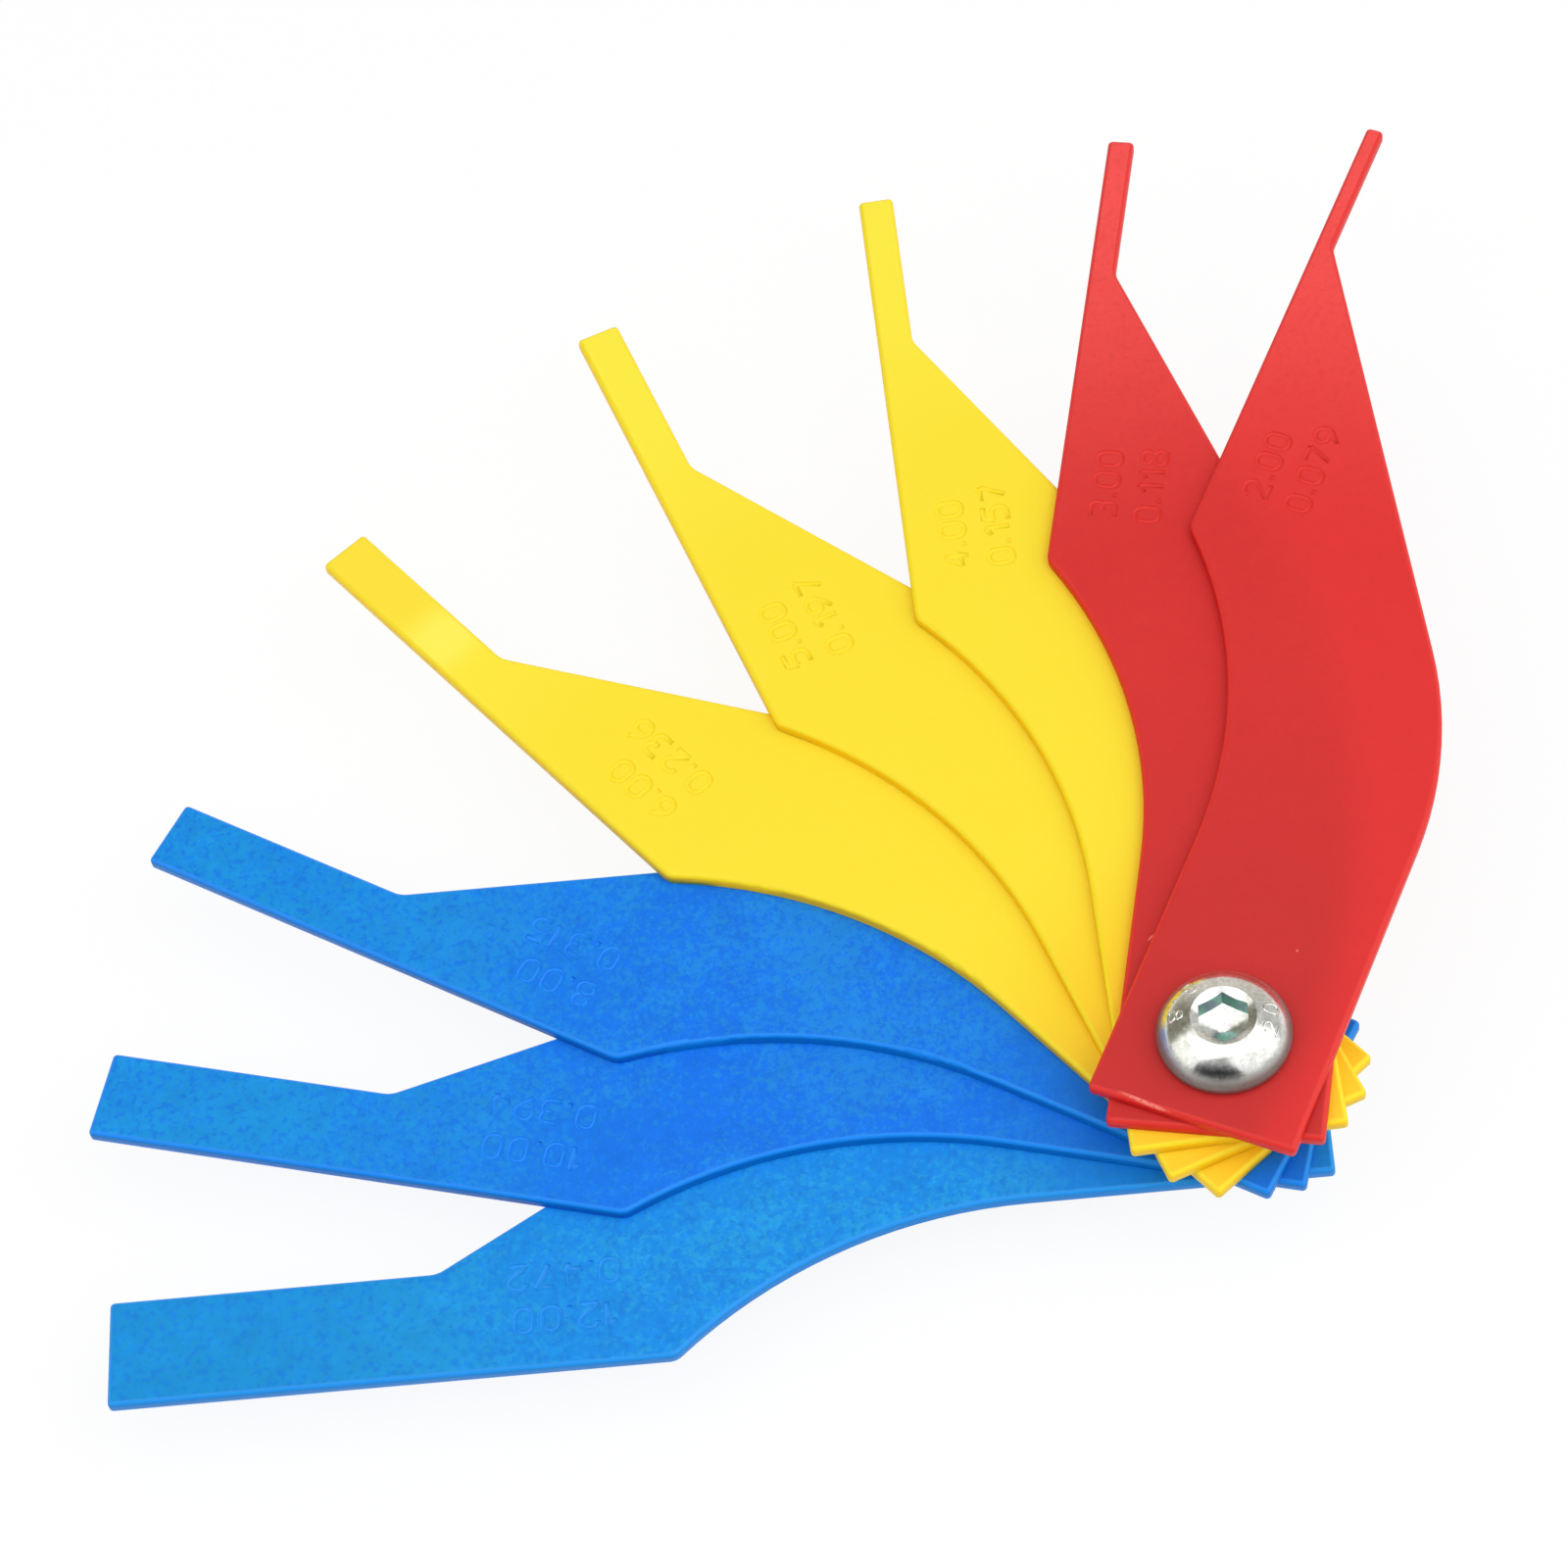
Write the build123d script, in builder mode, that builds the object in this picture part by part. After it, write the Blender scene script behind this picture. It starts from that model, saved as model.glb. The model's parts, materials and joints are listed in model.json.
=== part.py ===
"""Brake pad thickness gauge: eight flat moulded blades fanned out on one pivot screw.

Millimetres and degrees. The pivot axis is Z, the origin is the middle of the screw's lower end.
A blade's own frame has X along its base, with the pivot at its origin.
"""

import os
from math import acos, degrees, radians, sqrt, tan

from build123d import *

# Blades, from the top of the stack down, each named by the width of its measuring tip
tip_widths = (2, 3, 4, 5, 6, 8, 10, 12)
# Where each blade points in the open fan, about the pivot
fan_angles = (57.9, 72.1, 86.3, 103.8, 123.0, 142.6, 158.4, 173.4)
blade_thickness = 1.4
# Free play between one blade and the next, and at both ends of the stack
stack_gap = 0.05

# Outline of a blade
base_width = 22.6
# From the pivot to the square end of the base
base_setback = 10.2
# From the base's middle line to the tip's outer edge
tip_offset = 25.9
# The outer edge runs straight to here, then bends outward as far as the shoulder
bend_start = 21.9
bend_radius = 55.5
shoulder_round = 2.0
# The inner edge rises along one line on all the blades. It would meet the tip's outer edge here
belly_reach = 104.7
belly_angle = 30.4
belly_radius = 48.0
throat_round = 3.0
# From where those two lines would meet to the end of the tip
tip_overhang = 14.3

# Edges of a blade
corner_round = 0.5
rim_round = 0.6
# The most of a thickness or a width that one rounded edge may take up
round_share = 0.45

# Pivot screw with a button head
screw_diameter = 8.0
screw_length = 20.0
screw_end_chamfer = 0.9
head_diameter = 14.1
head_height = 4.4
# Straight edge of the head below its dome, rounded underneath
head_land = 1.0
head_edge_round = 0.6
dome_radius = 5.2
# The socket's mouth is a round cone whose rim is the top of the dome
mouth_diameter = 6.9
mouth_slope = 30.0
# The hexagon was pressed in by a punch with a blunt cone at its end, and its depth is at its corners
socket_width = 5.1
socket_depth = 2.6
punch_slope = 18.0
socket_angle = 21.0
# All round between the screw and the blades that turn on it
pivot_clearance = 0.05

# Lock nut under the stack, a hexagon above a round collar
nut_width = 13.0
hexagon_height = 5.7
nut_chamfer_angle = 30.0
nut_angle = 8.0
collar_height = 2.3
# How far the collar stands in from the nut's flats
collar_step = 0.4
collar_wall = 0.7
collar_round = 0.8
# The collar's end is rolled in over the nylon ring
lip_thickness = 0.45
lip_width = 0.5
insert_height = 1.7
# All round between the screw and the nut's bore, and between the ring and its recess
thread_clearance = 0.02
insert_clearance = 0.01

# Sizes that follow from those above
base_half = base_width / 2
blade_pitch = blade_thickness + stack_gap
head_underside = screw_length
head_top = head_underside + head_height
stack_top = head_underside - stack_gap
nut_top = stack_top - len(tip_widths) * blade_pitch
collar_top = nut_top - hexagon_height
nut_bottom = collar_top - collar_height
shank_radius = screw_diameter / 2
nut_bore_radius = shank_radius + thread_clearance
tip_reach = belly_reach + tip_overhang
bend_angle = degrees(acos(1 - (tip_offset - base_half) / bend_radius))
belly_slope = tan(radians(belly_angle))
rim_radius = min(rim_round, round_share * blade_thickness, round_share * min(tip_widths))

os.makedirs("parts", exist_ok=True)


def write(piece, name):
    """Label a finished piece and write it as its own file."""
    piece.part.label = name
    export_step(piece.part, f"parts/{name}.step")


def nearest(point):
    """The corner of the open sketch that is nearest to a point."""
    return vertices().sort_by_distance(point)[0]


def belly_x(height):
    """Where the inner edge's line is at a height above the base's middle line."""
    return belly_reach - (tip_offset - height) / belly_slope


# Blades
for place, (tip_width, fan_angle) in enumerate(zip(tip_widths, fan_angles)):
    underside = stack_top - place * blade_pitch - blade_thickness
    blade_plane = Plane.XY.offset(underside).rotated((0, 0, fan_angle))
    throat_height = tip_offset - tip_width
    throat = (belly_x(throat_height), throat_height)
    belly_corner = (belly_x(-base_half), -base_half)
    base_corners = ((-base_setback, -base_half), (-base_setback, base_half))
    tip_corners = ((tip_reach, tip_offset), (tip_reach, throat_height))
    with BuildPart() as blade:
        with BuildSketch(blade_plane):
            with BuildLine():
                bend_centre = (bend_start, base_half + bend_radius)
                bend = CenterArc(bend_centre, bend_radius, -90, bend_angle)
                shoulder = bend @ 1
                Polyline(shoulder, *tip_corners, throat, belly_corner, *base_corners, bend @ 0)
            make_face()
            fillet(nearest(shoulder), shoulder_round)
            fillet(nearest(throat), throat_round)
            fillet(nearest(belly_corner), belly_radius)
            for corner in base_corners + tip_corners:
                fillet(nearest(corner), min(corner_round, round_share * tip_width))
            Circle(shank_radius + pivot_clearance, mode=Mode.SUBTRACT)
        extrude(amount=blade_thickness)
        top_face = blade.faces().sort_by(Axis.Z)[-1]
        fillet(top_face.outer_wire().edges(), rim_radius)
    write(blade, f"blade_{tip_width}mm")

# The space that the punch leaves in the screw's head
head_radius = head_diameter / 2
mouth_radius = mouth_diameter / 2
socket_corner = socket_width / sqrt(3)
punch_shoulder = head_top - socket_depth
punch_tip = punch_shoulder - socket_corner * tan(radians(punch_slope))
with BuildPart() as punch:
    with BuildSketch(Plane.XY.offset(punch_tip)):
        RegularPolygon(socket_width / 2, 6, major_radius=False, rotation=socket_angle)
    extrude(amount=head_top - punch_tip)
    with BuildSketch(Plane.XZ):
        with BuildLine():
            Polyline(
                (0, punch_tip),
                (socket_corner, punch_shoulder),
                (mouth_radius, punch_shoulder),
                (mouth_radius, head_top),
                (0, head_top),
                close=True,
            )
        make_face()
    revolve(axis=Axis.Z, mode=Mode.INTERSECT)

# Pivot screw: a domed head with a hexagon socket, on a straight shank
with BuildPart() as pivot_screw:
    with BuildSketch(Plane.XZ):
        with BuildLine():
            dome_foot = (head_radius, head_underside + head_land)
            mouth_rim = (mouth_radius, head_top)
            RadiusArc(dome_foot, mouth_rim, -dome_radius)
            Polyline(
                mouth_rim,
                (0, head_top - mouth_radius * tan(radians(mouth_slope))),
                (0, 0),
                (shank_radius - screw_end_chamfer, 0),
                (shank_radius, screw_end_chamfer),
                (shank_radius, head_underside),
                (head_radius, head_underside),
                dome_foot,
            )
        make_face()
        fillet(nearest((head_radius, head_underside)), head_edge_round)
    revolve(axis=Axis.Z)
    add(punch.part, mode=Mode.SUBTRACT)
write(pivot_screw, "pivot_screw")

# Lock nut: a hexagon with bevelled corners, and the collar that holds the nylon ring
nut_corner_radius = nut_width / sqrt(3)
bevel_drop = (nut_corner_radius - nut_width / 2) * tan(radians(nut_chamfer_angle))
collar_radius = nut_width / 2 - collar_step
recess_radius = collar_radius - collar_wall
recess_bottom = nut_bottom + lip_thickness
with BuildPart() as lock_nut:
    with BuildSketch(Plane.XY.offset(collar_top)):
        RegularPolygon(nut_width / 2, 6, major_radius=False, rotation=nut_angle)
    extrude(amount=hexagon_height)
    with BuildSketch(Plane.XZ):
        with BuildLine():
            Polyline(
                (0, nut_top),
                (nut_width / 2, nut_top),
                (nut_corner_radius, nut_top - bevel_drop),
                (nut_corner_radius, collar_top + bevel_drop),
                (nut_width / 2, collar_top),
                (0, collar_top),
                close=True,
            )
        make_face()
    revolve(axis=Axis.Z, mode=Mode.INTERSECT)
    with BuildSketch(Plane.XY.offset(nut_bottom)):
        Circle(collar_radius)
    extrude(amount=collar_height)
    fillet(lock_nut.faces().sort_by(Axis.Z)[0].edges(), collar_round)
    with BuildSketch(Plane.XY.offset(nut_bottom)):
        Circle(nut_bore_radius)
    extrude(amount=collar_height + hexagon_height, mode=Mode.SUBTRACT)
    with BuildSketch(Plane.XY.offset(nut_bottom)):
        Circle(recess_radius - lip_width)
    extrude(amount=lip_thickness, mode=Mode.SUBTRACT)
    with BuildSketch(Plane.XY.offset(recess_bottom)):
        Circle(recess_radius)
    extrude(amount=insert_height, mode=Mode.SUBTRACT)
write(lock_nut, "lock_nut")

# Nylon ring that grips the screw
with BuildPart() as nut_insert:
    with BuildSketch(Plane.XY.offset(recess_bottom)):
        Circle(recess_radius - insert_clearance)
        Circle(nut_bore_radius, mode=Mode.SUBTRACT)
    extrude(amount=insert_height)
write(nut_insert, "nut_insert")
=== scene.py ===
"""Looks of a brake pad thickness gauge: engraved plastic blades, a plated pivot screw, its lock nut and a studio.

Lengths are in metres, as Blender's are. The pivot axis is Z, and the screw's lower end lies on the floor at zero.
"""

import json
from math import atan2, cos, hypot, pi, radians, sin, tan

import bmesh
import bpy
import numpy as np
from bpy.props import FloatProperty, FloatVectorProperty, PointerProperty, StringProperty
from mathutils import Matrix, Vector

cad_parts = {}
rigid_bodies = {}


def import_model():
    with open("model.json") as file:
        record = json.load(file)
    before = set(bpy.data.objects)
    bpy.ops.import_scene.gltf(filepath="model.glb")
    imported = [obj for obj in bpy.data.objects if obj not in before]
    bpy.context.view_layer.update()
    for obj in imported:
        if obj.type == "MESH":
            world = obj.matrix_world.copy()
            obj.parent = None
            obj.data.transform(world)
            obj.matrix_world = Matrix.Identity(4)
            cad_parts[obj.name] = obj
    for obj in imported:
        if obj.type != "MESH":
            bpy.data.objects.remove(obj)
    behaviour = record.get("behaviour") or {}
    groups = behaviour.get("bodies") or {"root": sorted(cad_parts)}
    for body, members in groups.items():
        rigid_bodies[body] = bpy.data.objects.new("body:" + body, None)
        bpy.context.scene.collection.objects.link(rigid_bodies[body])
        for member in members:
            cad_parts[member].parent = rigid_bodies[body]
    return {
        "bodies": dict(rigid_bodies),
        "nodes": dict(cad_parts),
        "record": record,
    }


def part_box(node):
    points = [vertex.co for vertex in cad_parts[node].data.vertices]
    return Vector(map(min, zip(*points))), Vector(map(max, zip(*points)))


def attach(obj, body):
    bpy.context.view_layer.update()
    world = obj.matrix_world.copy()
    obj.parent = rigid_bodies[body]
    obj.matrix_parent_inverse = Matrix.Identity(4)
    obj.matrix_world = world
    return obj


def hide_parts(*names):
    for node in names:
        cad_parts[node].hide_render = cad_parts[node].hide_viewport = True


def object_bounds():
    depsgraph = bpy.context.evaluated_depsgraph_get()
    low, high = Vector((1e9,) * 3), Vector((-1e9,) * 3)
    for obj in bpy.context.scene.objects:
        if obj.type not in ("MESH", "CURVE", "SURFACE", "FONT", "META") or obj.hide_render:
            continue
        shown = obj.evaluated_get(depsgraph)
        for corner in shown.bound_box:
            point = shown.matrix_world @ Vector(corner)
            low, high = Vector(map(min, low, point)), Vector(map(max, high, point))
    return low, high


bl_info = {
    "name": "Brake Pad Thickness Gauge",
    "version": (1, 0, 0),
    "blender": (4, 5, 0),
    "location": "View3D > Sidebar > Gauge",
    "description": "Engraves and finishes the blades, screw and nut of a brake pad thickness gauge",
    "category": "Object",
}

MM = 0.001
INCH = 25.4 * MM

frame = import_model()
cad_low, cad_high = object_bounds()
BLADES = sorted((name for name in frame["bodies"] if name.startswith("blade_")), key=lambda name: -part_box(name)[1].z)
PIVOT_BODY = "pivot"
SCREW, NUT, NUT_INSERT = "pivot_screw", "lock_nut", "nut_insert"
HEAD_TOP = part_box(SCREW)[1].z

# The rounded outer corner of a tip in the blade's own frame, which tells where a blade points
TIP_REACH = 118.5 * MM
TIP_OFFSET = 25.4 * MM

# Points that are closer than this are one point, on a solid and on a stroke or the bar swept along it
SOLID_DOUBLES = 0.0005 * MM
STROKE_DOUBLES = 0.001 * MM
# Faces of a blade that meet at less than this angle are shaded as one. A face is level if its normal's upright part
# is more than this
SMOOTH_ANGLE = radians(34)
LEVEL_NORMAL = 0.99995
# Spacing of the points at which a raised figure follows the head's dome
RELIEF_STEP = 0.12 * MM

# Each figure's share of the full width, and its strokes in a box one wide and two high.
# A stroke that ends where it starts is a loop, and strokes that meet in a sharp corner are separate
FIGURES = {
    "0": (1, (((0, 0), (1, 0), (1, 2), (0, 2), (0, 0)),)),
    "1": (0.5, (((0, 1.5), (0.5, 2)), ((0.5, 2), (0.5, 0)))),
    "2": (1, (((0, 1.5), (0, 2), (1, 2), (1, 1.2), (0, 0)), ((0, 0), (1, 0)))),
    "3": (1, (((0, 2), (1, 2), (1, 1), (0.45, 1)), ((0.4, 1.1), (1, 1.1), (1, 0), (0, 0)))),
    "4": (1, (((0.72, 0), (0.72, 2)), ((0.72, 2), (0, 0.6)), ((0, 0.6), (1, 0.6)))),
    "5": (1, (((1, 2), (0.1, 2)), ((0.1, 2), (0, 1.1)), ((0, 1.1), (0.2, 1.25), (1, 1.25), (1, 0), (0, 0)))),
    "6": (1, (((0.85, 2), (0, 1.1), (0, 0), (1, 0), (1, 1.2), (0.05, 1.2)),)),
    "7": (1, (((0, 2), (1, 2)), ((1, 2), (0.3, 0)))),
    "8": (1, (((0.06, 2), (0.94, 2), (0.94, 1.3), (0, 0.8), (0, 0), (1, 0), (1, 0.8), (0.06, 1.3), (0.06, 2)),)),
    "9": (1, (((0.15, 0), (1, 0.9), (1, 2), (0, 2), (0, 0.8), (0.95, 0.8)),)),
    ".": (0.1, (((0.05, 0), (0.05, 0.35)),)),
}

# Lamps: azimuth, elevation, angles that the face spans across and up, and its brightness.
# Azimuth 0 is in front, towards the camera, and 90 is to the right
SOFTBOXES = {
    "softbox_right": (52, 33, 70, 58, 1.0),
    "softbox_left": (-78, 32, 46, 56, 1.0),
    "softbox_top": (0, 84, 76, 54, 1.06),
}
SOFTBOX_DISTANCE = 0.8

# What stands round the table: azimuth, elevation, the angles at which it starts to fade and ends, and its colour
ROOM = (
    (120, 15, 30, 75, (214, 216, 214)),
    (178, 8, 30, 62, (226, 220, 212)),
    (-115, 25, 25, 55, (140, 138, 122)),
    (170, 62, 10, 35, (120, 122, 126)),
    (-17, 62, 15, 45, (190, 191, 193)),
    (-18, -4, 22, 58, (36, 36, 40)),
)
ROOM_WALLS = (110, 112, 116)

# Colours of each plastic, as a screen shows them: what its face wanders to, a painted shade near the pivot, where the
# head and the blades above shade it, painted light towards the thin tip, where more light falls, a painted highlight on
# the rounded edge (on yellow only a deeper yellow) and a painted shade on the upright wall. Then how much it wanders
# and dapples, and the distances from the pivot at which the painted shade near the pivot has gone and the painted light
# of the tip begins
SHADES = {
    "red_plastic": {
        "flow": (219, 52, 50), "root": (203, 47, 45), "tip": (252, 86, 83), "edge": (230, 54, 47),
        "wall": (224, 30, 26), "wander": 0.35, "dapple": 0.1, "root_end": 50 * MM, "tip_start": 62 * MM,
    },
    "yellow_plastic": {
        "flow": (255, 227, 46), "root": (255, 210, 38), "tip": (255, 238, 68), "edge": (255, 229, 38),
        "wall": (255, 206, 8), "wander": 0.32, "dapple": 0.0, "root_end": 32 * MM, "tip_start": 78 * MM,
    },
    "blue_plastic": {
        "flow": (24, 137, 228), "root": (3, 114, 226), "tip": (14, 147, 222), "edge": (22, 142, 249),
        "wall": (0, 120, 206), "wander": 1.7, "dapple": 0.45, "root_end": 32 * MM, "tip_start": 52 * MM,
    },
    "pale_blue_plastic": {
        "flow": (30, 158, 227), "root": (8, 126, 222), "tip": (8, 144, 214), "edge": (34, 152, 242),
        "wall": (4, 132, 218), "wander": 1.8, "dapple": 0.5, "root_end": 32 * MM, "tip_start": 60 * MM,
    },
}
# Distances from the pivot within which the painted shade near the pivot is full, and beyond which the painted light of
# the tip is
ROOT_FULL = 8 * MM
TIP_FULL = 114 * MM

# Marks, painted light and painted shade on single blades, in millimetres and degrees.
# Places where the red blades are scuffed or flecked, and, as the first mark, a painted highlight along the top blade's
# base end: centre, length, width and direction of each mark
RED_SCUFFS_AND_HIGHLIGHT = (
    # A painted highlight along the top blade's rounded base end, not a scuff
    ((-9.6, -5.7, 19.8), 7.5, 0.5, -37),
    ((-6.7, -8.0, 19.8), 0.7, 0.5, -33),
    ((-4.7, -9.3, 19.8), 1.0, 0.5, -33),
    ((-3.7, -10.1, 19.8), 1.3, 0.55, -33),
    ((-4.7, -9.9, 17.9), 0.8, 0.6, -18),
    ((-1.9, -10.8, 17.9), 0.7, 0.5, -18),
    ((9.5, 8.35, 19.95), 0.35, 0.35, 0),
    ((4.6, -5.3, 19.95), 0.3, 0.25, 0),
    ((-4.7, 14.3, 18.5), 2.1, 0.3, 39),
)
# The pale colour of the scuffs and of the painted highlight
SCUFF_AND_HIGHLIGHT_SHADE = (255, 140, 128)
# The top blade's right side is painted lighter, a painted light where more light falls on it. It lies outside a circle,
# between a radius at which it starts and one at which it is full, and above a height that only the top blade reaches
RED_PAINTED_LIGHT_SIDE = {"centre": (-60.9, 41.3), "start": 79, "full": 85, "above": 18.5, "shade": (227, 49, 48)}
# The 6 mm tip has painted shade towards its end and painted light at its neck: centre, length, width and direction, and
# the shade
YELLOW_PAINTED_LIGHT_AND_SHADE = (
    ((-80.8, 82.2, 14.1), 33, 22, 123, (255, 225, 57)),
    ((-74.3, 72.4, 14.1), 11, 20, 123, (255, 242, 90)),
)
# How much of a painted patch of light or shade, or of the painted light side, shows where it is strongest, and the
# share of a patch's size over which it fades
PAINTED_LIGHT_SHARE = 0.9
PAINTED_LIGHT_BLUR = 0.8

# Stains on the socket's walls lie within this radius. The head's rim, painted darker as a painted dark reflection, sets
# in between two heights, going down, and between two radii, going out, which keeps it off the shank
SOCKET_RADIUS = 3.2 * MM
RIM_HEIGHTS = HEAD_TOP - 1.4 * MM, HEAD_TOP - 3.0 * MM
RIM_RADII = 4.5 * MM, 5 * MM
# The thread's ridges set in between two heights at the screw's end, going down, and between two radii, going out
THREAD_HEIGHTS = 1.5 * MM, 1.0 * MM
THREAD_RADII = 3.15 * MM, 3.3 * MM
THREAD_DEPTH = 30

# In millimetres, like the lens
SENSOR_WIDTH = 36


def blade_width(name):
    """The width of a blade's tip in millimetres, from its name."""
    return int(name.removeprefix("blade_").removesuffix("mm"))


def fan_angle(name):
    """Where a blade points, from the corner of its tip that is furthest from the pivot."""
    corner = max((v.co for v in frame["nodes"][name].data.vertices), key=lambda co: hypot(co.x, co.y))
    return atan2(corner.y, corner.x) - atan2(TIP_OFFSET, TIP_REACH)


def heading(azimuth, elevation):
    """The direction at an azimuth and elevation in degrees, with azimuth 0 in front and 90 to the right."""
    a, e = radians(azimuth), radians(elevation)
    return Vector((sin(a) * cos(e), -cos(a) * cos(e), sin(e)))


class Wire:
    """A socket of a node tree on which Python arithmetic adds Math nodes."""

    def __init__(self, tree, socket):
        self.tree = tree
        self.socket = socket

    def math(self, operation, *others):
        return self.tree.node("ShaderNodeMath", {"operation": operation}, dict(enumerate((self, *others))))

    def __add__(self, other):
        return self.math("ADD", other)

    def __sub__(self, other):
        return self.math("SUBTRACT", other)

    def __mul__(self, other):
        return self.math("MULTIPLY", other)

    def __truediv__(self, other):
        return self.math("DIVIDE", other)

    def __rsub__(self, other):
        return self.tree.node("ShaderNodeMath", {"operation": "SUBTRACT"}, {0: other, 1: self})

    __radd__ = __add__
    __rmul__ = __mul__

    def within(self, low, high):
        """Rises smoothly from 0 at low to 1 at high, or falls if low is the larger."""
        settings = {"interpolation_type": "SMOOTHSTEP", "clamp": True}
        return self.tree.node("ShaderNodeMapRange", settings, {0: self, 1: low, 2: high})


class Tree:
    """A shader or geometry node tree that is filled by one method."""

    def __init__(self, tree):
        self.tree = tree

    def node(self, kind, settings=None, inputs=None, output=0):
        """Adds a node, sets it up, links or fills its inputs and gives one of its outputs."""
        made = self.tree.nodes.new(kind)
        for name, value in (settings or {}).items():
            setattr(made, name, value)
        for key, value in (inputs or {}).items():
            if isinstance(value, Wire):
                self.tree.links.new(value.socket, made.inputs[key])
            else:
                made.inputs[key].default_value = value
        return Wire(self, made.outputs[output]) if len(made.outputs) else made

    def mix(self, share, first, second):
        """The colour between two colours."""
        settings = {"data_type": "RGBA"}
        return self.node("ShaderNodeMix", settings, {0: share, 6: first, 7: second}, output=2)

    def position(self):
        return self.node("ShaderNodeTexCoord", output="Object")

    def part(self, vector, axis):
        """One of the three numbers of a vector."""
        return self.node("ShaderNodeSeparateXYZ", None, {0: vector}, output=axis)

    def vector_math(self, operation, first, second, output="Vector"):
        return self.node("ShaderNodeVectorMath", {"operation": operation}, {0: first, 1: second}, output=output)

    def from_axis(self, x=0.0, y=0.0):
        """Distance from an upright line at a place, which is the pivot axis if no place is given."""
        level = self.vector_math("MULTIPLY", self.position(), (1, 1, 0))
        return self.vector_math("DISTANCE", level, (x, y, 0), output="Value")

    def noise(self, grain, detail=2.0, roughness=0.5, seed=0):
        """Noise whose lumps are about as wide as grain. Each seed takes it from another place."""
        place = self.vector_math("ADD", self.position(), (seed * 0.4, seed * 0.3, 0))
        inputs = {"Vector": place, "Scale": 1 / grain, "Detail": detail, "Roughness": roughness}
        return self.node("ShaderNodeTexNoise", None, inputs, output="Fac")

    def patch(self, place, length, width, angle, blur=0.5):
        """A mask that is 1 on a spot about a place and fades at its edge."""
        settings = {"vector_type": "TEXTURE"}
        values = {"Location": place, "Rotation": (0, 0, angle), "Scale": (length / 2, width / 2, width)}
        local = self.node("ShaderNodeMapping", settings, {"Vector": self.position(), **values})
        return self.vector_math("LENGTH", local, (0, 0, 0), output="Value").within(1, 1 - blur)


def colour(red, green, blue):
    """A shader colour from the three numbers that a screen shows, each up to 255."""
    shares = [value / 255 for value in (red, green, blue)]
    return (*(share / 12.92 if share <= 0.04045 else ((share + 0.055) / 1.055) ** 2.4 for share in shares), 1)


def new_material(name):
    """A material with an empty tree, and its tree."""
    material = bpy.data.materials.new(name)
    material.use_nodes = True
    material.node_tree.nodes.clear()
    return material, Tree(material.node_tree)


def finish_material(tree, surface):
    tree.node("ShaderNodeOutputMaterial", None, {"Surface": surface})


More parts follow.
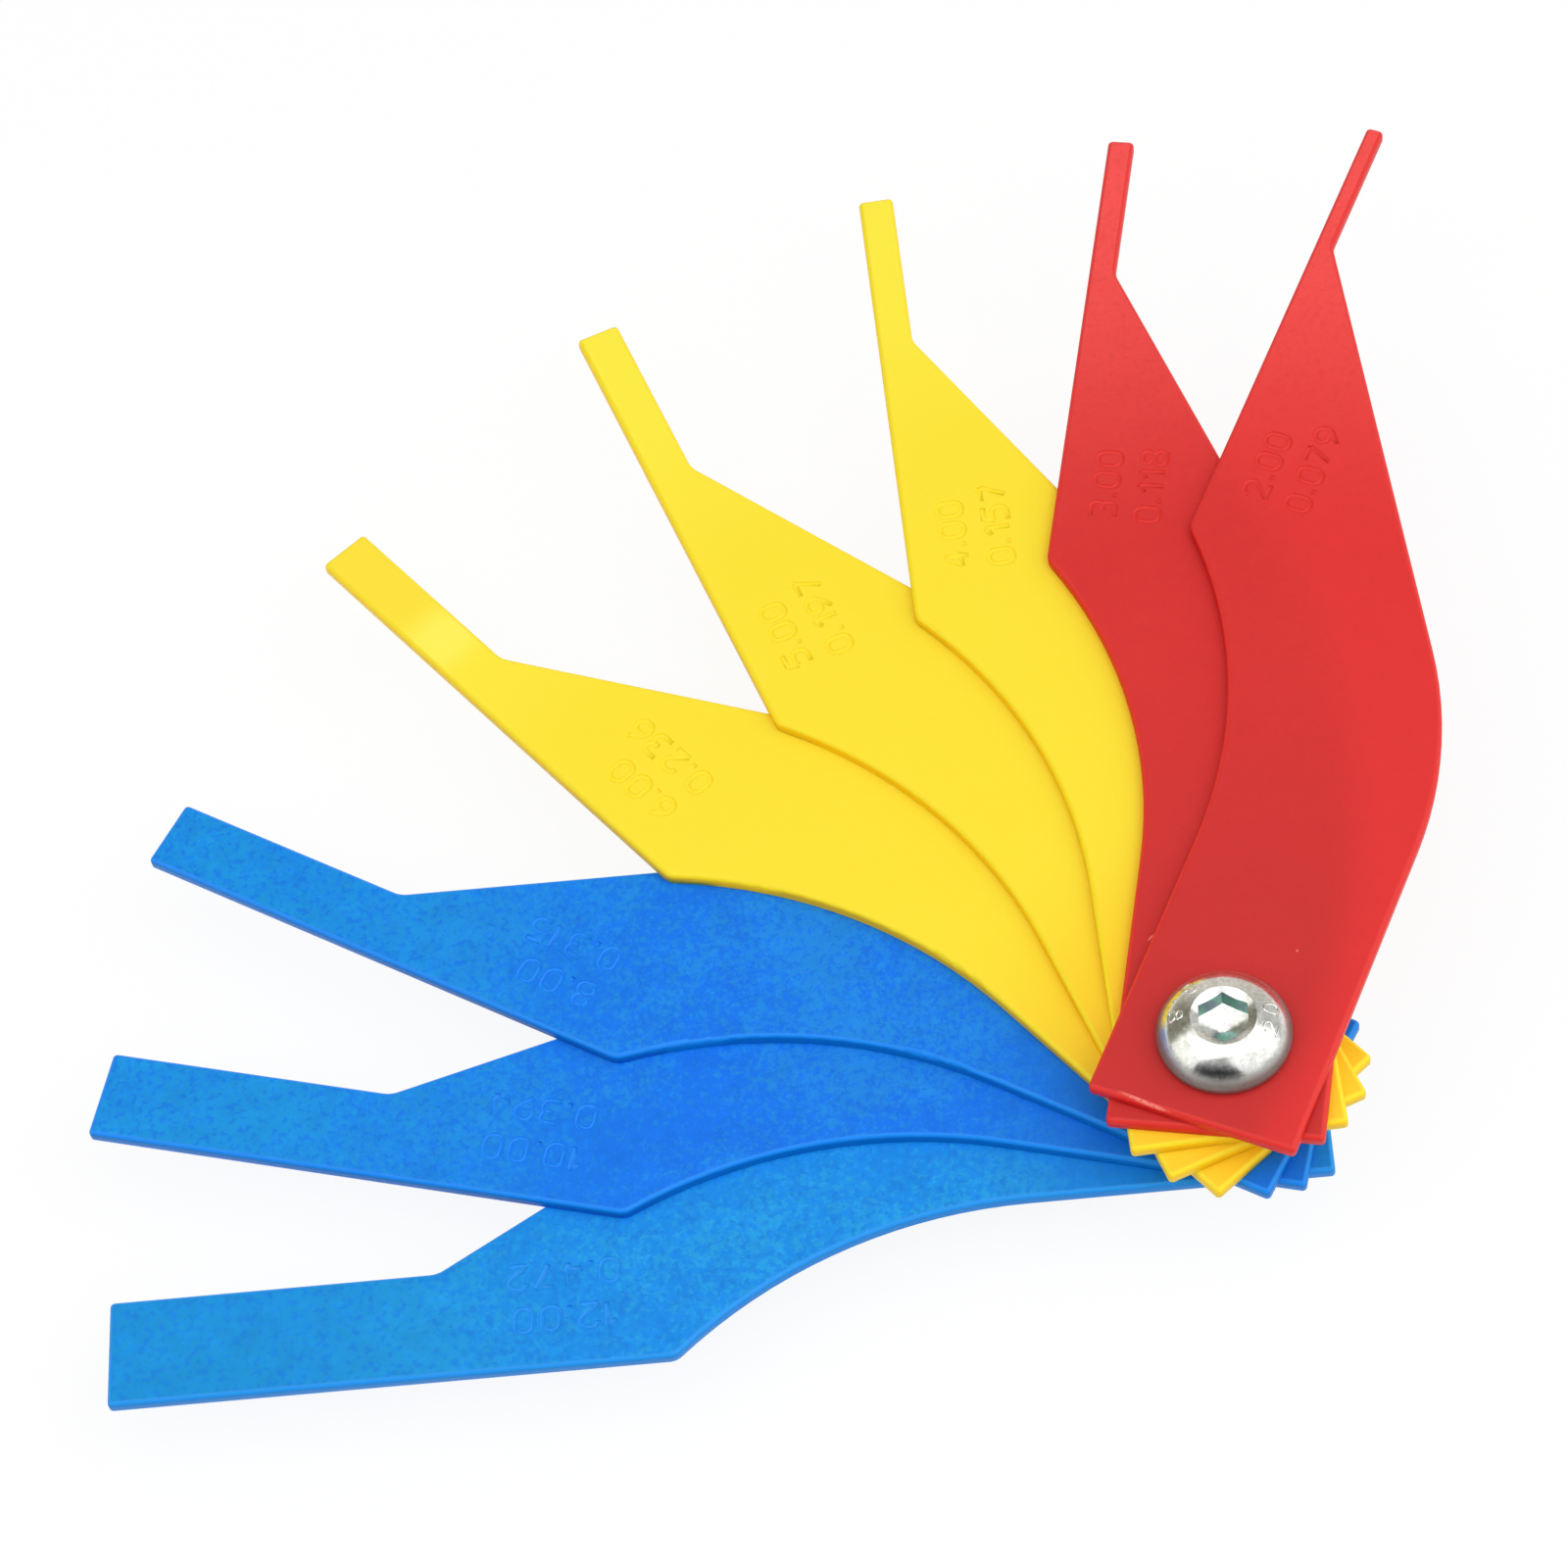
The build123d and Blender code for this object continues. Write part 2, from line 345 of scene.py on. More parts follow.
def plastic(name, face, scuffs_and_highlight=(), painted_light_side=None, painted_light_and_shade=()):
    """Satin moulded plastic of several shades, painted darker near the pivot and on upright walls and lighter towards
    the tips and on rounded edges, with any painted light side, painted patches of light and shade and pale scuffs,
    among them a painted highlight, that it is given.
    """
    shades = SHADES[name]
    flow, root, tip, edge, wall = (colour(*shades[place]) for place in ("flow", "root", "tip", "edge", "wall"))
    material, tree = new_material(name)
    lumps = tree.noise(1.0 * MM, 3.0, 0.65)
    flecks = tree.noise(0.42 * MM, 2.0, 0.6, 3)
    clouds = tree.noise(16 * MM, 2.0, 0.5, 7)
    grain = tree.noise(0.16 * MM, 2.0, 0.6)
    wander = (lumps - 0.5) * 1.5 + (flecks - 0.5) * 1.1 + (clouds - 0.5) * 1.2
    flowed = (wander * shades["wander"] + 0.5).within(0, 1)
    base = tree.mix(flowed, face, flow)
    from_axis = tree.from_axis()
    # Painted shade near the pivot, where the head and the blades above shade the plastic
    base = tree.mix(from_axis.within(shades["root_end"], ROOT_FULL), base, root)
    # Painted light on the top blade's right side
    if painted_light_side:
        above = tree.part(tree.position(), 2).within(painted_light_side["above"] * MM, (painted_light_side["above"] + 0.05) * MM)
        outside = tree.from_axis(*(Vector(painted_light_side["centre"]) * MM))
        outside = outside.within(painted_light_side["start"] * MM, painted_light_side["full"] * MM)
        base = tree.mix(outside * above * PAINTED_LIGHT_SHARE, base, colour(*painted_light_side["shade"]))
    # Painted light towards the tips, where more light falls
    base = tree.mix(from_axis.within(shades["tip_start"], TIP_FULL) * (flowed * 0.45 + 0.65), base, tip)
    if shades["dapple"]:
        # Dark specks of the plastic itself, in the colour of the painted shade near the pivot
        specks = tree.noise(0.8 * MM, 2.0, 0.6, 13).within(0.46, 0.39)
        base = tree.mix(specks * (shades["dapple"] * 1.3), base, root)
        dapple = (tree.noise(3 * MM, 4.0, 0.8, 11) - 0.5) * shades["dapple"] + 1
        base = tree.node("ShaderNodeVectorMath", {"operation": "SCALE"}, {0: base, "Scale": dapple})
    # Painted patches of light and shade
    for place, length, width, angle, shade in painted_light_and_shade:
        spot = tree.patch(Vector(place) * MM, length * MM, width * MM, radians(angle), PAINTED_LIGHT_BLUR)
        base = tree.mix(spot * PAINTED_LIGHT_SHARE, base, colour(*shade))
    facing = tree.part(tree.node("ShaderNodeNewGeometry", output="Normal"), 2)
    # Painted highlight on the rounded edges and on the slopes of the grooves
    base = tree.mix(facing.within(0.99, 0.9), base, edge)
    # Painted shade on the upright walls and on the grooves' sides
    base = tree.mix(facing.math("ABSOLUTE").within(0.75, 0.2), base, wall)
    # Pale scuffs, and the painted highlight that stands among them
    wear_and_highlight = None
    for place, length, width, angle in scuffs_and_highlight:
        spot = tree.patch(Vector(place) * MM, length * MM, width * MM, radians(angle))
        wear_and_highlight = spot if wear_and_highlight is None else wear_and_highlight.math("MAXIMUM", spot)
    if wear_and_highlight is not None:
        wear_and_highlight = wear_and_highlight * flecks.within(0.3, 0.55)
        base = tree.mix(wear_and_highlight * 0.8, base, colour(*SCUFF_AND_HIGHLIGHT_SHADE))
    height = lumps * 0.55 + flecks * 0.25 + grain * 0.2
    bump = tree.node("ShaderNodeBump", None, {"Strength": 0.4, "Distance": 0.03 * MM, "Height": height})
    inputs = {
        "Base Color": base,
        "Roughness": grain * 0.1 + flecks * 0.1 + 0.34,
        "Specular IOR Level": 0.25,
        "Normal": bump,
    }
    finish_material(tree, tree.node("ShaderNodeBsdfPrincipled", None, inputs))
    return material


def plated_steel(name, bright, dull, socket=None, rim=None, thread_pitch=None):
    """Zinc plate on steel, mottled at a fine scale.

    A socket is given by the two colours that stain its upright walls and the height of its brim, a rim by the darker
    colour of a painted dark reflection round it, and a thread, which shows as ridges round the screw's end, by its
    pitch.
    """
    material, tree = new_material(name)
    cast = tree.noise(2.6 * MM, 2.0)
    mottle = tree.noise(0.5 * MM, 3.0, 0.65, 2)
    pits = tree.noise(0.2 * MM, 2.0, 0.6, 5)
    base = tree.mix((cast * 0.5 + mottle * 0.9 - 0.2).within(0.2, 0.8), dull, bright)
    roughness = mottle * 0.14 + pits * 0.06 + 0.08
    metallic = 1.0
    x, y, z = (tree.part(tree.position(), axis) for axis in range(3))
    if socket:
        *stains, brim = socket
        facing = tree.part(tree.node("ShaderNodeNewGeometry", output="Normal"), 2).math("ABSOLUTE")
        inside = z.within(brim, brim - 0.4 * MM) * tree.from_axis().within(SOCKET_RADIUS, SOCKET_RADIUS - 0.1 * MM)
        upright = inside * facing.within(0.6, 0.2)
        stain = tree.noise(1.3 * MM, 1.0, 0.5, 9).within(0.4, 0.6)
        base = tree.mix(upright, base, tree.mix(stain, *stains))
        roughness = roughness + upright * 0.2
    # A painted dark reflection round the head's lower edge, which is also rougher and less metallic
    if rim:
        outside = z.within(*RIM_HEIGHTS) * tree.from_axis().within(*RIM_RADII)
        base = tree.mix(outside * (mottle * 0.5 + 0.6), base, rim)
        roughness = roughness + outside * 0.26
        metallic = 1 - outside * 0.35
    height = mottle * 0.6 + pits * 0.4
    if thread_pitch:
        turn = (z / thread_pitch + y.math("ARCTAN2", x) / (2 * pi)).math("FRACT")
        flank = (turn - 0.5).math("ABSOLUTE")
        end = z.within(*THREAD_HEIGHTS) * tree.from_axis().within(*THREAD_RADII)
        height = height + flank * end * THREAD_DEPTH
    bump = tree.node("ShaderNodeBump", None, {"Strength": 0.4, "Distance": 0.02 * MM, "Height": height})
    inputs = {"Base Color": base, "Metallic": metallic, "Roughness": roughness, "Normal": bump}
    finish_material(tree, tree.node("ShaderNodeBsdfPrincipled", None, inputs))
    return material


def nylon(name):
    """Off-white nylon."""
    material, tree = new_material(name)
    clouds = tree.noise(2 * MM, 2.0)
    base = tree.mix(clouds.within(0.3, 0.7), colour(228, 228, 218), colour(214, 216, 208))
    bump = tree.node("ShaderNodeBump", None, {"Strength": 0.2, "Distance": 0.02 * MM, "Height": tree.noise(0.3 * MM)})
    inputs = {"Base Color": base, "Roughness": 0.45, "Normal": bump}
    finish_material(tree, tree.node("ShaderNodeBsdfPrincipled", None, inputs))
    return material


def geometry_tree(name, inputs):
    """A geometry node tree with named inputs, and its group input's wires by name."""
    group = bpy.data.node_groups.new(name, "GeometryNodeTree")
    group.interface.new_socket("Geometry", in_out="OUTPUT", socket_type="NodeSocketGeometry")
    group.interface.new_socket("Geometry", in_out="INPUT", socket_type="NodeSocketGeometry")
    for label, kind in inputs.items():
        group.interface.new_socket(label, in_out="INPUT", socket_type=kind)
    tree = Tree(group)
    entry = group.nodes.new("NodeGroupInput")
    wires = {socket.name: Wire(tree, socket) for socket in entry.outputs if socket.name}
    return group, tree, wires


def close_tree(tree, geometry, material):
    """Ends a tree with real geometry and its material."""
    real = tree.node("GeometryNodeRealizeInstances", None, {0: geometry})
    dressed = tree.node("GeometryNodeSetMaterial", None, {"Geometry": real, "Material": material})
    tree.node("NodeGroupOutput", None, {0: dressed})


def rounded_strokes(tree, wires):
    """The strokes with rounded corners."""
    strokes = tree.node("GeometryNodeObjectInfo", None, {"Object": wires["Strokes"]}, output="Geometry")
    inputs = {"Curve": strokes, "Count": 5, "Radius": wires["Corner Round"], "Limit Radius": True}
    return tree.node("GeometryNodeFilletCurve", {"mode": "POLY"}, inputs)


def swept(tree, wires, curve):
    """Round bars along a curve."""
    profile = tree.node("GeometryNodeCurvePrimitiveCircle", None, {"Resolution": 12, "Radius": wires["Bar Radius"]})
    return tree.node("GeometryNodeCurveToMesh", None, {"Curve": curve, "Profile Curve": profile, "Fill Caps": True})


STROKE_INPUTS = {
    "Strokes": "NodeSocketObject",
    "Bar Radius": "NodeSocketFloat",
    "Corner Round": "NodeSocketFloat",
    "Material": "NodeSocketMaterial",
}


def engraving_tree():
    """Cuts round grooves along strokes into a solid."""
    group, tree, wires = geometry_tree("engraving", STROKE_INPUTS)
    bars = swept(tree, wires, rounded_strokes(tree, wires))
    bars = tree.node("GeometryNodeMergeByDistance", None, {"Geometry": bars, "Distance": STROKE_DOUBLES})
    cut = tree.node(
        "GeometryNodeMeshBoolean",
        {"operation": "DIFFERENCE", "solver": "EXACT"},
        {"Mesh 1": wires["Geometry"], "Mesh 2": bars, "Self Intersection": True},
    )
    close_tree(tree, cut, wires["Material"])
    return group


def relief_tree():
    """Lays strokes down on the solid that comes in and sweeps them into raised round ridges, sunk to a depth."""
    group, tree, wires = geometry_tree("relief", {**STROKE_INPUTS, "Sink": "NodeSocketFloat"})
    strokes = rounded_strokes(tree, wires)
    fine = tree.node("GeometryNodeResampleCurve", {"mode": "LENGTH"}, {"Curve": strokes, "Length": RELIEF_STEP})
    inputs = {"Target Geometry": wires["Geometry"], "Ray Direction": (0, 0, -1), "Ray Length": 1.0}
    ground = tree.node("GeometryNodeRaycast", None, inputs, output="Hit Position")
    down = tree.node("ShaderNodeCombineXYZ", None, {"Z": 0 - wires["Sink"]})
    laid = tree.node("GeometryNodeSetPosition", None, {"Geometry": fine, "Position": ground, "Offset": down})
    close_tree(tree, swept(tree, wires, laid), wires["Material"])
    return group


def run_tree(work, group, values, name):
    """Runs a geometry tree on a work object and gives the result as a plain object of its own."""
    modifier = work.modifiers.new(group.name, "NODES")
    modifier.node_group = group
    identifiers = {item.name: item.identifier for item in group.interface.items_tree if item.in_out == "INPUT"}
    for label, value in values.items():
        modifier[identifiers[label]] = value
    graph = bpy.context.evaluated_depsgraph_get()
    mesh = bpy.data.meshes.new_from_object(work.evaluated_get(graph), depsgraph=graph)
    mesh.name = name
    bpy.data.objects.remove(work)
    return link(bpy.data.objects.new(name, mesh))


def link(obj):
    bpy.context.scene.collection.objects.link(obj)
    return obj


def solid_copy(node):
    """A closed copy of a frame node, with its doubles merged and no material."""
    mesh = bpy.data.meshes.new(node + "_copy")
    work = bmesh.new()
    work.from_mesh(frame["nodes"][node].data)
    bmesh.ops.remove_doubles(work, verts=work.verts, dist=SOLID_DOUBLES)
    work.to_mesh(mesh)
    work.free()
    return link(bpy.data.objects.new(node + "_copy", mesh))


def strokes_object(name, strokes):
    """A curve object with one straight-sided spline for each stroke, closed where it ends where it starts."""
    curve = bpy.data.curves.new(name, "CURVE")
    curve.dimensions = "3D"
    for stroke in strokes:
        loop = (Vector(stroke[0]) - Vector(stroke[-1])).length < STROKE_DOUBLES
        points = stroke[:-1] if loop else stroke
        spline = curve.splines.new("POLY")
        spline.points.add(len(points) - 1)
        for point, place in zip(spline.points, points):
            point.co = (*place, 1)
        spline.use_cyclic_u = loop
    return link(bpy.data.objects.new(name, curve))


def figure_strokes(text, width, height, gap, place):
    """The strokes of a line of figures, each point passed through place(along, up)."""
    along = 0
    for figure in text:
        share, strokes = FIGURES[figure]
        for stroke in strokes:
            yield [place(along + x * width, y * height / 2) for x, y in stroke]
        along += share * width + gap


def line_length(text, width, gap):
    return sum(FIGURES[figure][0] * width + gap for figure in text) - gap


def smooth_shade(mesh, angle):
    """Smooth shading up to an angle, with flat faces kept flat where a rounding runs into them."""
    mesh.shade_smooth()
    mesh.set_sharp_from_angle(angle=angle)
    corners = np.empty(len(mesh.loops) * 3, np.float32)
    mesh.corner_normals.foreach_get("vector", corners)
    corners = corners.reshape(-1, 3)
    loop_vertex = np.empty(len(mesh.loops), np.int32)
    mesh.loops.foreach_get("vertex_index", loop_vertex)
    normals = np.empty(len(mesh.polygons) * 3, np.float32)
    mesh.polygons.foreach_get("normal", normals)
    normals = normals.reshape(-1, 3)
    totals = np.empty(len(mesh.polygons), np.int32)
    mesh.polygons.foreach_get("loop_total", totals)
    loop_face = np.repeat(np.arange(len(totals)), totals)
    flat_loops = (np.abs(normals[:, 2]) > LEVEL_NORMAL)[loop_face]
    flat_normal = np.zeros((len(mesh.vertices), 3), np.float32)
    flat_normal[loop_vertex[flat_loops]] = normals[loop_face[flat_loops]]
    target = flat_normal[loop_vertex]
    near = (corners * target).sum(1) > cos(angle / 2)
    corners[near] = target[near]
    corners[flat_loops] = normals[loop_face[flat_loops]]
    mesh.normals_split_custom_set(corners)


def colour_property(name, description, shade):
    return FloatVectorProperty(name=name, description=description, size=4, min=0, max=1, default=shade, subtype="COLOR")


class BladeSettings(bpy.types.PropertyGroup):
    figure_height: FloatProperty(name="Figure height", description="Height of the engraved figures",
                                 default=2.7 * MM, unit="LENGTH")
    figure_width: FloatProperty(name="Figure width", description="Width of the engraved figures",
                                default=1.9 * MM, unit="LENGTH")
    figure_gap: FloatProperty(name="Figure gap", description="Space between one figure and the next",
                              default=0.95 * MM, unit="LENGTH")
    millimetre_row: FloatVectorProperty(name="Millimetre row", description="Start of the upper row on a blade",
                                        size=2, default=(65.4 * MM, 19.1 * MM), unit="LENGTH")
    inch_row: FloatVectorProperty(name="Inch row", description="Start of the lower row on a blade",
                                  size=2, default=(65.0 * MM, 14.1 * MM), unit="LENGTH")
    groove_width: FloatProperty(name="Groove width", description="Width of the grooves at the surface",
                                default=0.62 * MM, unit="LENGTH")
    groove_depth: FloatProperty(name="Groove depth", description="Depth of the grooves",
                                default=0.2 * MM, unit="LENGTH")
    corner_round: FloatProperty(name="Corner round", description="Rounding of the figures' corners",
                                default=0.85 * MM, unit="LENGTH")
    red: colour_property("Red", "Face of the two thinnest blades", colour(213, 45, 43))
    yellow: colour_property("Yellow", "Face of the three middle blades", colour(254, 229, 56))
    blue: colour_property("Blue", "Face of the blades of 8 and 10 mm", colour(3, 115, 238))
    pale_blue: colour_property("Pale blue", "Face of the widest blade", colour(8, 138, 232))


class ScrewSettings(bpy.types.PropertyGroup):
    grade: StringProperty(name="Grade", description="Figures in relief on the left of the head", default="8.8")
    grade_angle: FloatProperty(name="Grade angle", description="Where the grade stands round the head",
                               default=radians(143), subtype="ANGLE")
    length_mark: StringProperty(name="Length mark", description="Figures in relief on the right of the head",
                                default="20")
    length_angle: FloatProperty(name="Length mark angle", description="Where the length mark stands round the head",
                                default=radians(-12), subtype="ANGLE")
    figure_height: FloatProperty(name="Figure height", description="Height of the figures on the head",
                                 default=1.4 * MM, unit="LENGTH")
    figure_width: FloatProperty(name="Figure width", description="Width of the figures on the head",
                                default=1.1 * MM, unit="LENGTH")
    figure_gap: FloatProperty(name="Figure gap", description="Space between the figures on the head",
                              default=1.2 * MM, unit="LENGTH")
    figure_ring: FloatProperty(name="Figure ring", description="Radius on which the figures' middles stand",
                               default=5.0 * MM, unit="LENGTH")
    corner_round: FloatProperty(name="Corner round", description="Rounding of the figures' corners",
                                default=0.462 * MM, unit="LENGTH")
    ridge_radius: FloatProperty(name="Ridge radius", description="Half the width of a raised figure's ridge",
                                default=0.17 * MM, unit="LENGTH")
    ridge_sink: FloatProperty(name="Ridge sink", description="How far the ridges' middles lie under the dome",
                              default=0.08 * MM, unit="LENGTH")
    thread_pitch: FloatProperty(name="Thread pitch", description="Rise of the thread in one turn",
                                default=1.25 * MM, unit="LENGTH")
    socket_brim: FloatProperty(name="Socket brim", description="Height at which the socket's upright walls begin",
                               default=HEAD_TOP - 0.2 * MM, unit="LENGTH")
    zinc: colour_property("Zinc", "Bright parts of the zinc plate", colour(248, 248, 244))
    dull_zinc: colour_property("Dull zinc", "Duller parts of the zinc plate", colour(196, 197, 190))
    green_stain: colour_property("Green stain", "First stain on the socket's walls", colour(148, 212, 190))
    grey_stain: colour_property("Grey stain", "Second stain on the socket's walls", colour(160, 178, 192))
    # Colour of the painted dark reflection round the head's edge
    painted_dark_rim: colour_property("Worn rim", "Worn plate round the head's edge", colour(116, 112, 107))


class StageSettings(bpy.types.PropertyGroup):
    camera_place: FloatVectorProperty(name="Camera place", description="Where the camera stands", size=3,
                                      default=(-39.752 * MM, -246.299 * MM, 466.158 * MM), subtype="TRANSLATION")
    camera_tilt: FloatProperty(name="Camera tilt", description="Tilt of the view from straight down",
                               default=radians(32.76), subtype="ANGLE")
    camera_roll: FloatProperty(name="Camera roll", description="Turn of the camera about its view",
                               default=radians(-11.01), subtype="ANGLE")
    lens: FloatProperty(name="Lens", description="Focal length in millimetres on a sensor 36 wide", default=112.84)
    floor_size: FloatProperty(name="Floor size", description="Side of the floor", default=8.0, unit="LENGTH")
    floor_glow: FloatProperty(name="Floor glow", description="Share of plain white in what is seen of the floor",
                              default=0.9, min=0, max=1, subtype="FACTOR")
    softbox_light: FloatProperty(name="Softbox light", description="Brightness of all the softboxes", default=1.0)


class GAUGE_OT_blades(bpy.types.Operator):
    """Engrave the blades with their widths and give them their plastics"""

    bl_idname = "gauge.blades"
    bl_label = "Blades"

    def execute(self, context):
        sizes = context.scene.gauge_blades
        plastics = {
            "red_plastic": plastic("red_plastic", sizes.red, RED_SCUFFS_AND_HIGHLIGHT, RED_PAINTED_LIGHT_SIDE),
            "yellow_plastic": plastic("yellow_plastic", sizes.yellow, painted_light_and_shade=YELLOW_PAINTED_LIGHT_AND_SHADE),
            "blue_plastic": plastic("blue_plastic", sizes.blue),
            "pale_blue_plastic": plastic("pale_blue_plastic", sizes.pale_blue),
        }
        slots = {part["node"]: part["material_slot"] for part in frame["record"]["subparts"]}
        group = engraving_tree()
        half = sizes.groove_width / 2
        radius = (half**2 + sizes.groove_depth**2) / (2 * sizes.groove_depth)
        for name in BLADES:
            strokes = self.strokes(name, sizes, radius)
            values = {
                "Strokes": strokes,
                "Bar Radius": radius,
                "Corner Round": sizes.corner_round,
                "Material": plastics["pale_blue_plastic" if name == BLADES[-1] else slots[name]],
            }
            piece = run_tree(solid_copy(name), group, values, "engraved_" + name)
            bpy.data.objects.remove(strokes)
            smooth_shade(piece.data, SMOOTH_ANGLE)
            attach(piece, name)
            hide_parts(name)
        return {"FINISHED"}

    def strokes(self, name, sizes, radius):
        """The two rows of figures of one blade, at the height from which a bar cuts its groove."""
        width = blade_width(name)
        turn = Matrix.Rotation(fan_angle(name), 3, "Z")
        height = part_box(name)[1].z + radius - sizes.groove_depth
        rows = (
            (f"{width:.2f}", sizes.millimetre_row),
            (f"{width * MM / INCH:.3f}", sizes.inch_row),
        )
        lines = []
        for text, start in rows:
            def place(along, up):
                return turn @ Vector((start[0] + along, start[1] + up, height))
            lines += figure_strokes(text, sizes.figure_width, sizes.figure_height, sizes.figure_gap, place)
        return strokes_object(name + "_figures", lines)


class GAUGE_OT_pivot_screw(bpy.types.Operator):
    """Plate the pivot screw and raise the figures on its head"""

    bl_idname = "gauge.pivot_screw"
    bl_label = "Pivot screw"

    def execute(self, context):
        sizes = context.scene.gauge_screw
        socket = (sizes.green_stain, sizes.grey_stain, sizes.socket_brim)
        steel = plated_steel("zinc_steel", sizes.zinc, sizes.dull_zinc, socket, sizes.painted_dark_rim, sizes.thread_pitch)
        frame["nodes"][SCREW].material_slots[0].material = steel
        strokes = self.strokes(sizes)
        values = {
            "Strokes": strokes,
            "Bar Radius": sizes.ridge_radius,
            "Corner Round": sizes.corner_round,
            "Material": steel,
            "Sink": sizes.ridge_sink,
        }
        piece = run_tree(solid_copy(SCREW), relief_tree(), values, "head_figures")
        bpy.data.objects.remove(strokes)
        if not piece.data.polygons:
            raise RuntimeError("the figures on the head came out empty")
        piece.data.shade_smooth()
        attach(piece, PIVOT_BODY)
        return {"FINISHED"}

    def strokes(self, sizes):
        """Two groups of figures round the head, with their tops towards its middle."""
        lines = []
        for text, middle in ((sizes.grade, sizes.grade_angle), (sizes.length_mark, sizes.length_angle)):
            half = line_length(text, sizes.figure_width, sizes.figure_gap) / 2

            def place(along, up):
                angle = middle + (along - half) / sizes.figure_ring
                radius = sizes.figure_ring + sizes.figure_height / 2 - up
                return Vector((radius * cos(angle), radius * sin(angle), HEAD_TOP + MM))
            lines += figure_strokes(text, sizes.figure_width, sizes.figure_height, sizes.figure_gap, place)
        return strokes_object("head_strokes", lines)


class GAUGE_OT_lock_nut(bpy.types.Operator):
    """Finish the lock nut and its nylon ring"""

    bl_idname = "gauge.lock_nut"
    bl_label = "Lock nut"

    def execute(self, context):
        steel = plated_steel("nut_steel", colour(226, 228, 226), colour(190, 194, 192))
        frame["nodes"][NUT].material_slots[0].material = steel
        frame["nodes"][NUT_INSERT].material_slots[0].material = nylon("nylon")
        return {"FINISHED"}


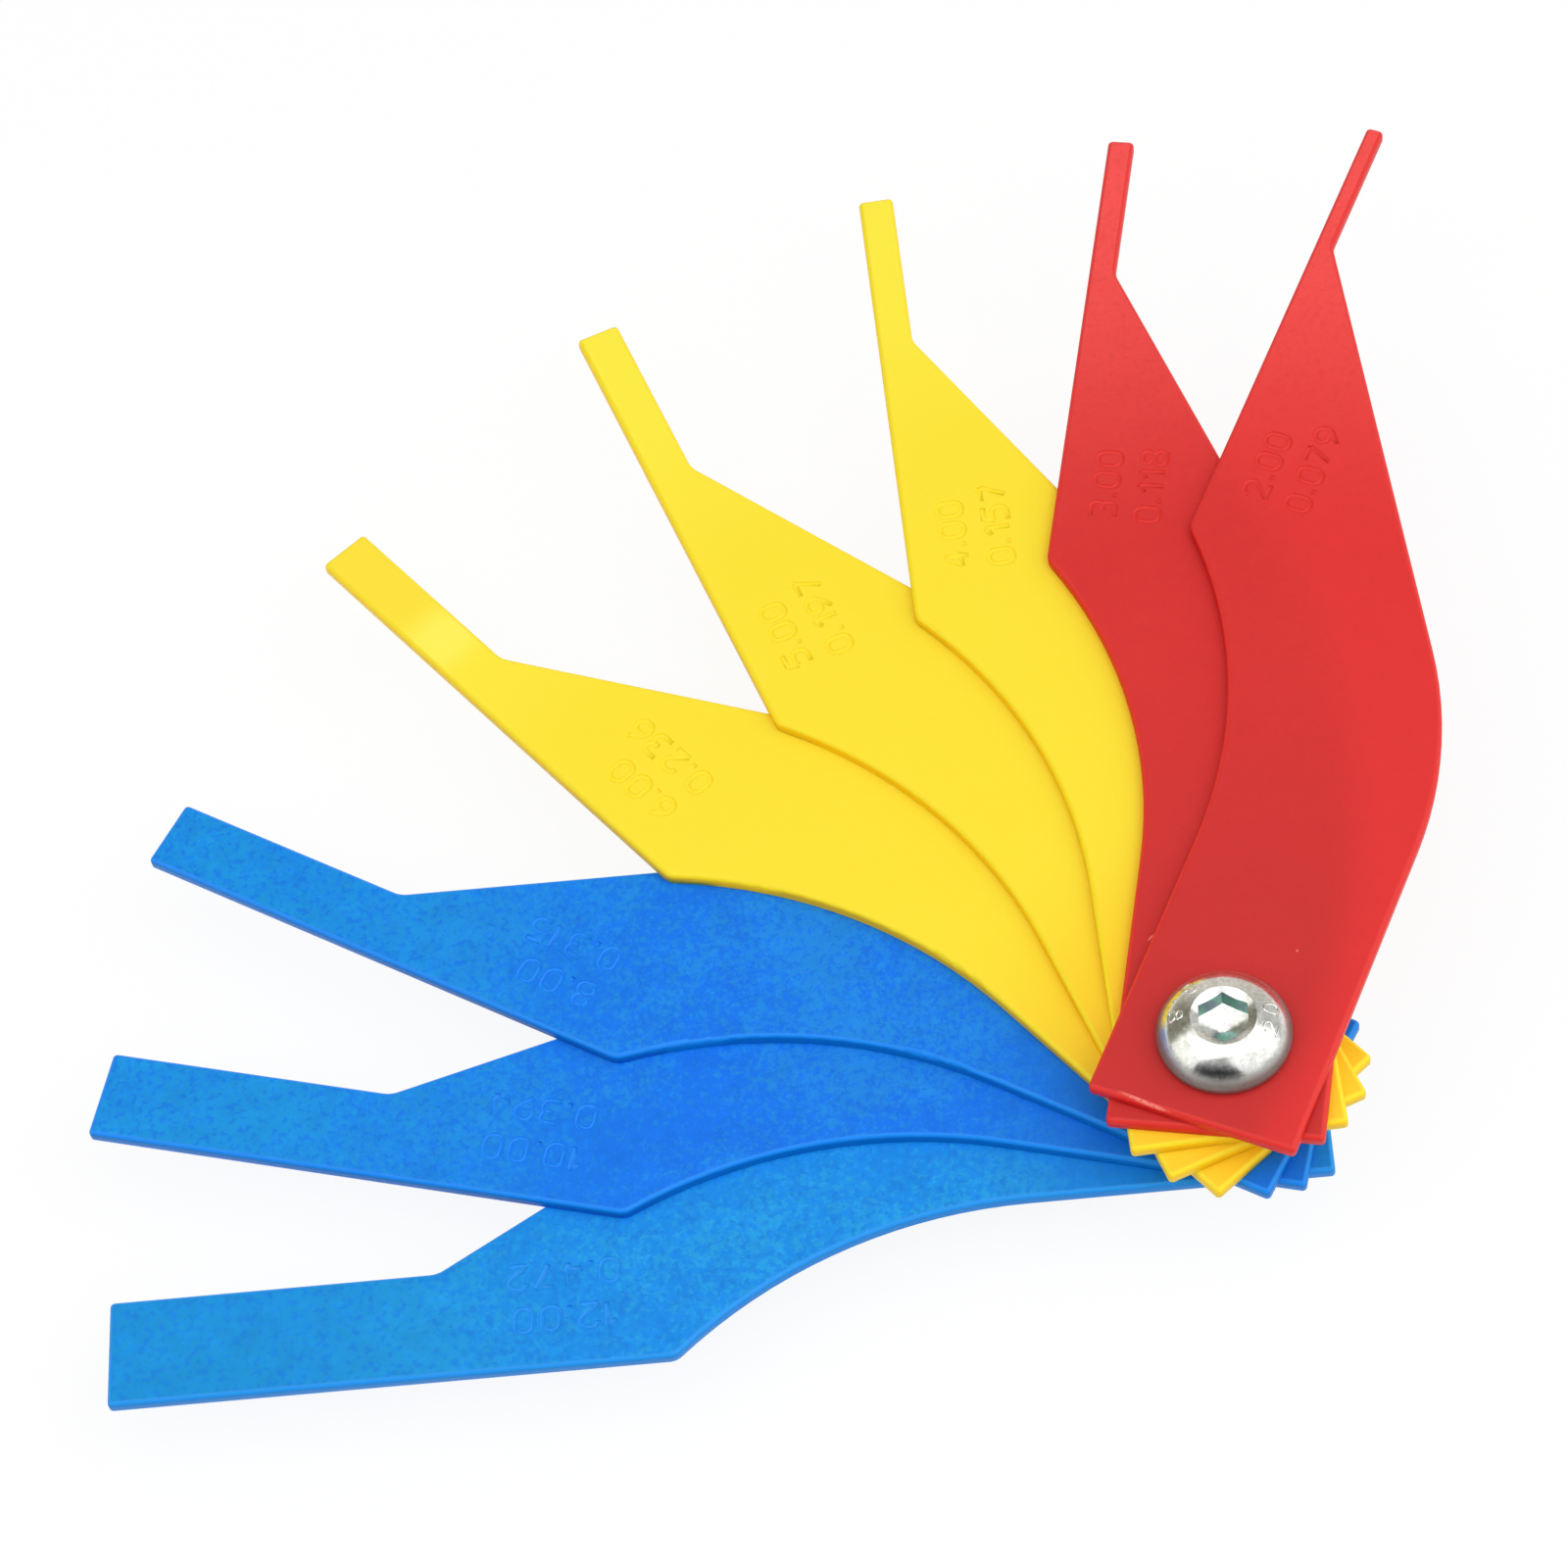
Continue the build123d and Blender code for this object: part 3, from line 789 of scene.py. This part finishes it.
class GAUGE_OT_stage(bpy.types.Operator):
    """Set up the floor, the softboxes, the world and the camera"""

    bl_idname = "gauge.stage"
    bl_label = "Stage"

    def execute(self, context):
        sizes = context.scene.gauge_stage
        self.floor(sizes)
        self.world()
        for name, (azimuth, elevation, across, up, brightness) in SOFTBOXES.items():
            self.softbox(name, heading(azimuth, elevation), across, up, brightness * sizes.softbox_light)
        self.camera(sizes)
        context.scene.view_settings.view_transform = "Standard"
        return {"FINISHED"}

    def floor(self, sizes):
        half = sizes.floor_size / 2
        mesh = bpy.data.meshes.new("floor")
        mesh.from_pydata([(-half, -half, 0), (half, -half, 0), (half, half, 0), (-half, half, 0)], [], [(0, 1, 2, 3)])
        material, tree = new_material("floor")
        diffuse = tree.node("ShaderNodeBsdfDiffuse", None, {"Color": colour(255, 255, 255)})
        glow = tree.node("ShaderNodeEmission", None, {"Color": (1, 1, 1, 1), "Strength": 1.0})
        kinds = ("Camera", "Glossy", "Transmission")
        rays = [tree.node("ShaderNodeLightPath", output=f"Is {kind} Ray") for kind in kinds]
        seen = rays[0].math("MAXIMUM", rays[1]).math("MAXIMUM", rays[2])
        shown = tree.node("ShaderNodeMixShader", None, {0: seen * sizes.floor_glow, 1: diffuse, 2: glow})
        finish_material(tree, shown)
        mesh.materials.append(material)
        link(bpy.data.objects.new("floor", mesh))

    def world(self):
        """A plain room with brighter and darker sides, which the screw's head mirrors."""
        world = bpy.data.worlds.new("studio")
        bpy.context.scene.world = world
        world.use_nodes = True
        world.node_tree.nodes.clear()
        tree = Tree(world.node_tree)
        direction = tree.node("ShaderNodeTexCoord", output="Generated")
        room = colour(*ROOM_WALLS)
        for azimuth, elevation, inner, outer, shade in ROOM:
            along = tree.vector_math("DOT_PRODUCT", direction, heading(azimuth, elevation), output="Value")
            room = tree.mix(along.within(cos(radians(outer)), cos(radians(inner))), room, colour(*shade))
        background = tree.node("ShaderNodeBackground", None, {"Color": room})
        tree.node("ShaderNodeOutputWorld", None, {"Surface": background})

    def softbox(self, name, towards, across, up, brightness):
        """A softbox that faces the gauge."""
        light = bpy.data.lights.new(name, "AREA")
        light.shape = "RECTANGLE"
        light.size, light.size_y = (2 * SOFTBOX_DISTANCE * tan(radians(angle / 2)) for angle in (across, up))
        light.energy = brightness * light.size * light.size_y * pi
        place = (cad_low + cad_high) / 2 + SOFTBOX_DISTANCE * towards
        box = link(bpy.data.objects.new(name, light))
        box.matrix_world = Matrix.Translation(place) @ towards.to_track_quat("Z", "Y").to_matrix().to_4x4()
        box.visible_camera = False

    def camera(self, sizes):
        camera = bpy.data.cameras.new("camera")
        camera.sensor_width = SENSOR_WIDTH
        camera.lens = sizes.lens
        camera.clip_start = 0.01
        camera.clip_end = 20
        view = link(bpy.data.objects.new("camera", camera))
        turn = Matrix.Rotation(sizes.camera_tilt, 4, "X") @ Matrix.Rotation(sizes.camera_roll, 4, "Z")
        view.matrix_world = Matrix.Translation(sizes.camera_place) @ turn
        bpy.context.scene.camera = view


class GAUGE_PT_sidebar(bpy.types.Panel):
    """Steps that dress the gauge"""

    bl_label = "Gauge"
    bl_idname = "GAUGE_PT_sidebar"
    bl_space_type = "VIEW_3D"
    bl_region_type = "UI"
    bl_category = "Gauge"

    def draw(self, context):
        for step in STEPS:
            self.layout.operator(step.bl_idname)
        for group in SETTINGS:
            settings = getattr(context.scene, group)
            for name in settings.bl_rna.properties.keys():
                if name not in ("rna_type", "name"):
                    self.layout.prop(settings, name)


STEPS = (GAUGE_OT_stage, GAUGE_OT_blades, GAUGE_OT_pivot_screw, GAUGE_OT_lock_nut)
SETTINGS = {"gauge_blades": BladeSettings, "gauge_screw": ScrewSettings, "gauge_stage": StageSettings}


def register():
    for kind in (*SETTINGS.values(), *STEPS, GAUGE_PT_sidebar):
        bpy.utils.register_class(kind)
    for name, kind in SETTINGS.items():
        setattr(bpy.types.Scene, name, PointerProperty(type=kind))


def unregister():
    for name in SETTINGS:
        delattr(bpy.types.Scene, name)
    for kind in (GAUGE_PT_sidebar, *reversed(STEPS), *SETTINGS.values()):
        bpy.utils.unregister_class(kind)


def main():
    register()
    bpy.ops.gauge.stage()
    bpy.ops.gauge.blades()
    bpy.ops.gauge.pivot_screw()
    bpy.ops.gauge.lock_nut()


if __name__ == "__main__":
    main()
